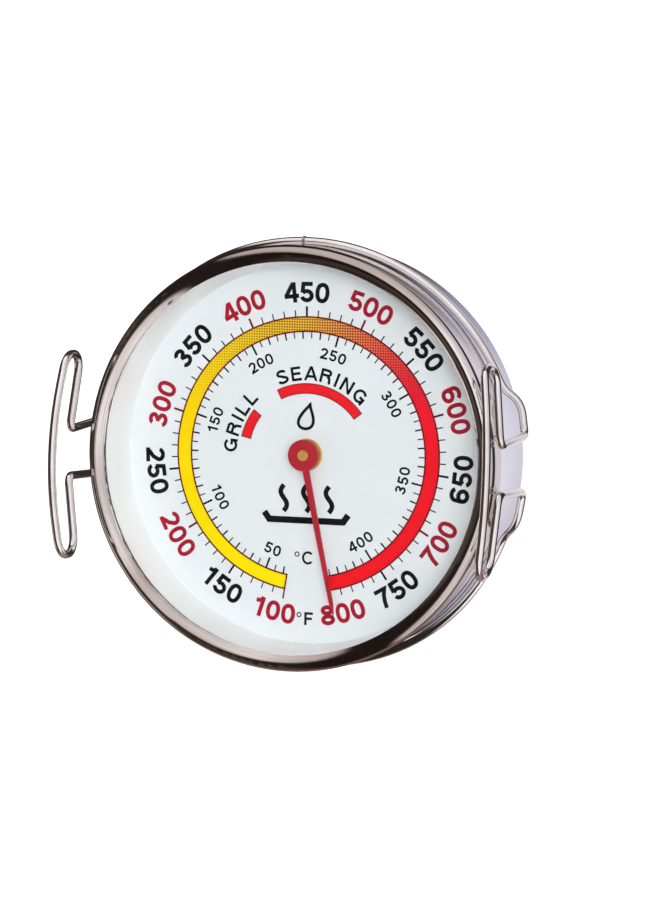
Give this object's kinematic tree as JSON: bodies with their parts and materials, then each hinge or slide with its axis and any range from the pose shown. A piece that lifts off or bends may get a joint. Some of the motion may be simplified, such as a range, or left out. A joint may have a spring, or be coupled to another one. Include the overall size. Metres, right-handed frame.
{
  "type": "oven thermometer",
  "caption": "Round dial thermometer for a hot cooking surface, with a steel case, glass lens, coil-driven pointer and a wire carrier with two grip loops.",
  "frame": {"origin": "centre of the case's foot, on the surface it rests on", "axes": "+Z along the pointer shaft from the foot to the lens, +Y to the dial's 12 o'clock, +X to 3 o'clock, through the right grip loop"},
  "size_m": [0.0686, 0.0658, 0.0295],
  "materials": {
    "case_steel": "polished stainless",
    "bezel_steel": "polished stainless",
    "wire_steel": "bright drawn stainless wire",
    "weld_steel": "heat tinted weld",
    "spacer_steel": "polished stainless",
    "frame_steel": "plain rolled steel",
    "rivet_steel": "plain steel",
    "bimetal_strip": "cold rolled strip",
    "brass": "turned brass",
    "lens_glass": "clear float glass",
    "gasket_fibre": "matt fibre",
    "dial_enamel": "satin printed white",
    "pointer_red": "satin red"
  },
  "bodies": {
    "case": {"case_shell": "case_steel", "bezel_ring": "bezel_steel", "glass_lens": "lens_glass", "lens_gasket": "gasket_fibre", "lens_spacer": "spacer_steel", "dial_plate": "dial_enamel", "dial_support_ring": "frame_steel", "front_bushing": "brass", "movement_bracket": "frame_steel", "rear_bridge": "frame_steel", "bridge_rivets": "rivet_steel", "rear_bushing": "brass", "bimetal_coil": "bimetal_strip", "anchor_post": "frame_steel", "anchor_pin": "rivet_steel", "wire_carrier": "wire_steel", "wire_weld": "weld_steel"},
    "pointer_group": {"pointer_shaft": "brass", "coil_hub": "brass", "thrust_washer": "frame_steel", "pointer_hub": "brass", "pointer": "pointer_red"}
  },
  "joints": [
    {"name": "pointer_turn", "type": "hinge", "parent": "case", "child": "pointer_group", "pos_m": [0, 0, 0.0105], "axis": [0, 0, -1], "range_deg": [-27, 361], "stiffness_Nm_per_rad": 0.0045}
  ]
}
